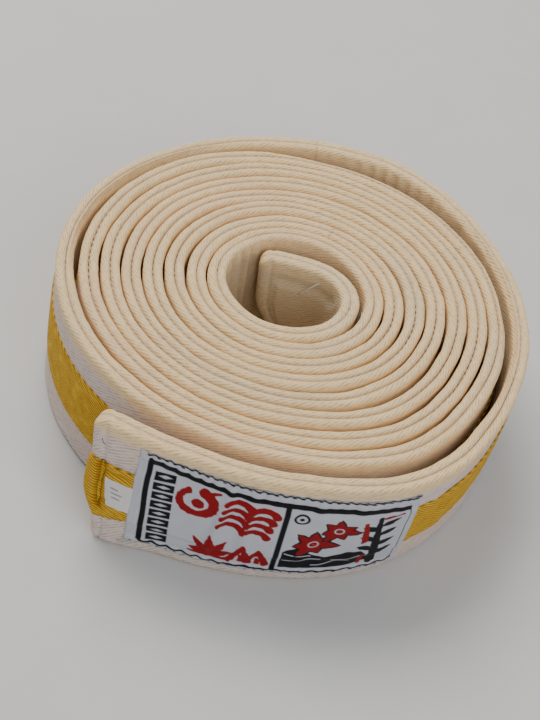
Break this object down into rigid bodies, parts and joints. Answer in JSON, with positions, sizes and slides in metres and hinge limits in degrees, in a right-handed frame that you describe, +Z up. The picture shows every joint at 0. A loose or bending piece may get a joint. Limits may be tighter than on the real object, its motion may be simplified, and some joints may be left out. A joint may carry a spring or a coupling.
{
  "type": "martial arts belt",
  "caption": "Rolled cotton martial arts belt: a long sewn strap with a coloured centre stripe, coiled on its edge, whose outer end peels off and whose inner end folds into the eye.",
  "frame": {"origin": "middle of the coil's outline, at the height of the surface it stands on", "axes": "+Z up along the coil's axis, which is across the belt's width; -Y towards the labelled outer end"},
  "size_m": [0.15, 0.1628, 0.045],
  "materials": {
    "cotton_twill": "matt cotton twill with rounded folded edges",
    "canvas": "matt cotton canvas",
    "stripe_tape": "matt twill tape",
    "stripe_thread": "sewing thread",
    "edge_thread": "sewing thread",
    "label_satin": "satin with a soft sheen",
    "label_thread": "sewing thread",
    "tag_tape": "matt printed tape"
  },
  "bodies": {
    "roll": {"roll_outer_cover": "cotton_twill", "roll_inner_cover": "cotton_twill", "roll_outer_ply": "canvas", "roll_inner_ply": "canvas", "roll_stripe": "stripe_tape", "roll_stripe_seams": "stripe_thread", "roll_top_seam": "edge_thread", "roll_bottom_seam": "edge_thread"},
    "third": {"third_outer_cover": "cotton_twill", "third_inner_cover": "cotton_twill", "third_outer_ply": "canvas", "third_inner_ply": "canvas", "third_stripe": "stripe_tape", "third_stripe_seams": "stripe_thread", "third_top_seam": "edge_thread", "third_bottom_seam": "edge_thread"},
    "second": {"second_outer_cover": "cotton_twill", "second_inner_cover": "cotton_twill", "second_outer_ply": "canvas", "second_inner_ply": "canvas", "second_stripe": "stripe_tape", "second_stripe_seams": "stripe_thread", "second_top_seam": "edge_thread", "second_bottom_seam": "edge_thread"},
    "tail": {"tail_outer_cover": "cotton_twill", "tail_inner_cover": "cotton_twill", "tail_outer_ply": "canvas", "tail_inner_ply": "canvas", "tail_stripe": "stripe_tape", "tail_stripe_seams": "stripe_thread", "tail_top_seam": "edge_thread", "tail_bottom_seam": "edge_thread", "label": "label_satin", "label_seam": "label_thread", "size_tag": "tag_tape", "tail_end_seam": "stripe_thread"},
    "flap": {"flap_outer_cover": "cotton_twill", "flap_inner_cover": "cotton_twill", "flap_outer_ply": "canvas", "flap_inner_ply": "canvas", "flap_stripe": "stripe_tape", "flap_stripe_seams": "stripe_thread", "flap_top_seam": "edge_thread", "flap_bottom_seam": "edge_thread", "flap_end_seam": "edge_thread"}
  },
  "joints": [
    {"name": "tail_peel", "type": "hinge", "parent": "second", "child": "tail", "pos_m": [0.05529, -0.05437, 0.0225], "axis": [0, 0, 1], "range_deg": [0, 60]},
    {"name": "second_peel", "type": "hinge", "parent": "third", "child": "second", "pos_m": [0.07025, 0.02788, 0.0225], "axis": [0, 0, 1], "range_deg": [0, 60]},
    {"name": "third_peel", "type": "hinge", "parent": "roll", "child": "third", "pos_m": [0.02635, 0.07839, 0.0225], "axis": [0, 0, 1], "range_deg": [0, 50]},
    {"name": "flap_fold", "type": "hinge", "parent": "roll", "child": "flap", "pos_m": [0.00556, 0.01298, 0.0225], "axis": [0, 0, 1], "range_deg": [0, 30]}
  ]
}
